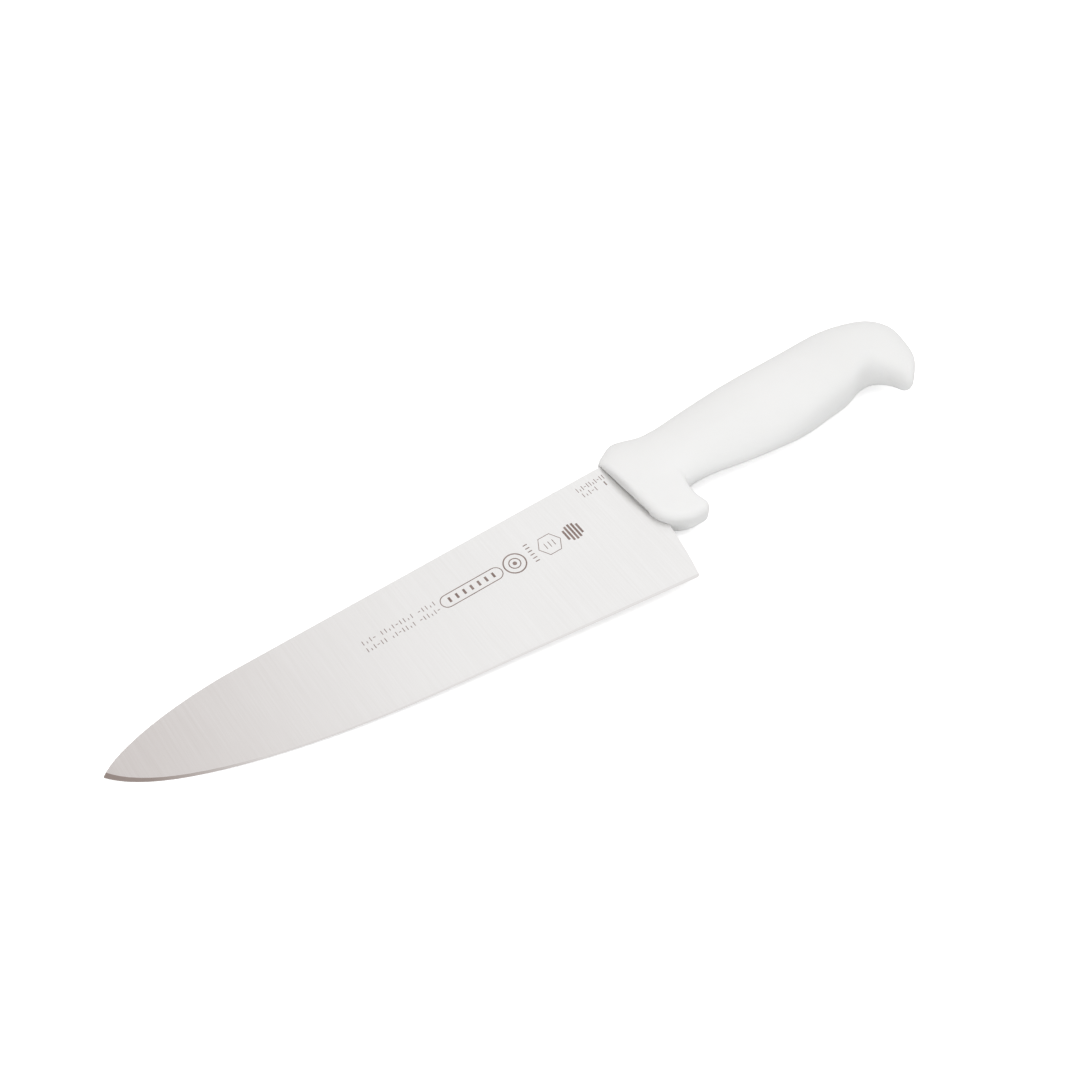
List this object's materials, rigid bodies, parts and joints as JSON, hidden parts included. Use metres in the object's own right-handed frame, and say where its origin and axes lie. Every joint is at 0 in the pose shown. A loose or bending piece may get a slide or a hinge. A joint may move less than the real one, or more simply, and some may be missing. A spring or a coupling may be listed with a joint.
{
  "type": "chef knife",
  "caption": "Chef's knife: wide flat-ground steel blade with a straight spine, and a moulded white handle with a finger guard and a hooked butt.",
  "frame": {"origin": "middle of the whole knife's bounding box, on the middle plane of the blade's thickness", "axes": "+X along the knife from the tip to the butt, +Y in the blade's plane from the edge to the spine, +Z out of the left side of the blade"},
  "size_m": [0.338, 0.0648, 0.0234],
  "materials": {
    "blade_steel": "satin, fine grinding lines across the blade from spine to edge",
    "core_plastic": "hard off-white plastic, hidden",
    "grip_plastic": "matte white moulded plastic with a very fine spark texture"
  },
  "bodies": {
    "root": {"blade": "blade_steel", "handle_core": "core_plastic", "handle_grip": "grip_plastic"}
  },
  "joints": []
}
